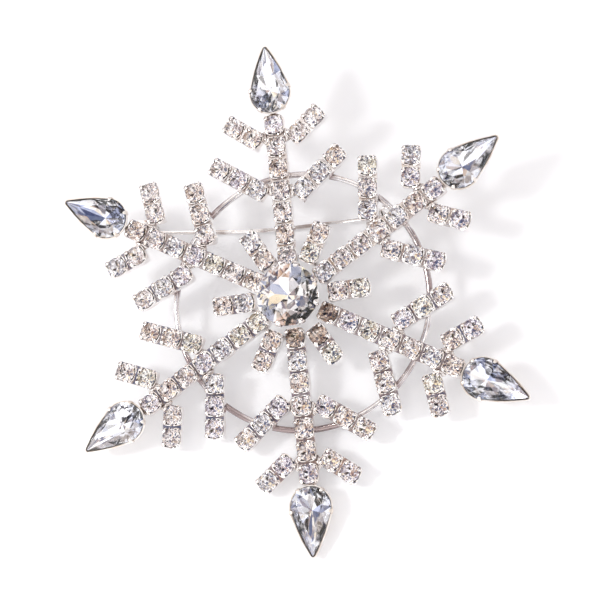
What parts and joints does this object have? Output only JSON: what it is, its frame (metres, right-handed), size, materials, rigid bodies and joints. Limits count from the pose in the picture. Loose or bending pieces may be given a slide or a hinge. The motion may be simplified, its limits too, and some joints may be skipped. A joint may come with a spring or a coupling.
{
  "type": "snowflake brooch",
  "caption": "Snowflake-shaped brooch of claw-set crystals on radiating cup rows, with pear stones at the tips, a wire ring behind, and a hinged pin that locks in a rotating catch.",
  "frame": {"origin": "middle of the snowflake, on the flat back of the centre setting, which is level with the backs of all the cup rows", "axes": "+Z out of the front face, +Y along the top arm, +X to the right seen from the front"},
  "size_m": [0.0699, 0.0804, 0.0128],
  "materials": {
    "silver_plate": "bright silver-tone plate",
    "pin_steel": "drawn wire, polished",
    "clear_crystal": "clear faceted crystal with a foiled back",
    "pear_crystal": "cool clear faceted crystal with a foiled back"
  },
  "bodies": {
    "root": {"arm_spine_1": "silver_plate", "arm_spine_2": "silver_plate", "arm_spine_3": "silver_plate", "arm_spine_4": "silver_plate", "arm_spine_5": "silver_plate", "arm_spine_6": "silver_plate", "catch_body": "silver_plate", "centre_setting": "silver_plate", "centre_stone": "clear_crystal", "inner_branch_left_1": "silver_plate", "inner_branch_left_2": "silver_plate", "inner_branch_left_3": "silver_plate", "inner_branch_left_4": "silver_plate", "inner_branch_left_5": "silver_plate", "inner_branch_left_6": "silver_plate", "inner_branch_right_1": "silver_plate", "inner_branch_right_2": "silver_plate", "inner_branch_right_3": "silver_plate", "inner_branch_right_4": "silver_plate", "inner_branch_right_5": "silver_plate", "inner_branch_right_6": "silver_plate", "joint_rivet": "silver_plate", "outer_branch_left_1": "silver_plate", "outer_branch_left_2": "silver_plate", "outer_branch_left_3": "silver_plate", "outer_branch_left_4": "silver_plate", "outer_branch_left_5": "silver_plate", "outer_branch_left_6": "silver_plate", "outer_branch_right_1": "silver_plate", "outer_branch_right_2": "silver_plate", "outer_branch_right_3": "silver_plate", "outer_branch_right_4": "silver_plate", "outer_branch_right_5": "silver_plate", "outer_branch_right_6": "silver_plate", "pear_setting_1": "silver_plate", "pear_setting_2": "silver_plate", "pear_setting_3": "silver_plate", "pear_setting_4": "silver_plate", "pear_setting_5": "silver_plate", "pear_setting_6": "silver_plate", "pear_stone_1": "pear_crystal", "pear_stone_2": "pear_crystal", "pear_stone_3": "pear_crystal", "pear_stone_4": "pear_crystal", "pear_stone_5": "pear_crystal", "pear_stone_6": "pear_crystal", "pin_joint": "silver_plate", "short_spoke_1": "silver_plate", "short_spoke_2": "silver_plate", "short_spoke_3": "silver_plate", "short_spoke_4": "silver_plate", "short_spoke_5": "silver_plate", "short_spoke_6": "silver_plate", "wire_ring": "silver_plate"},
    "pin_stem": {"pin_stem": "pin_steel"},
    "catch_lock": {"catch_lock": "silver_plate"}
  },
  "joints": [
    {"name": "pin_hinge", "type": "hinge", "parent": "root", "child": "pin_stem", "pos_m": [-0.02332, 0.0145, -0.0057], "axis": [0.0706, 0.9975, 0], "range_deg": [0, 90]},
    {"name": "catch_lock_turn", "type": "hinge", "parent": "root", "child": "catch_lock", "pos_m": [0.01333, 0.01191, -0.0057], "axis": [0.9975, -0.0706, 0], "range_deg": [0, 100]}
  ]
}
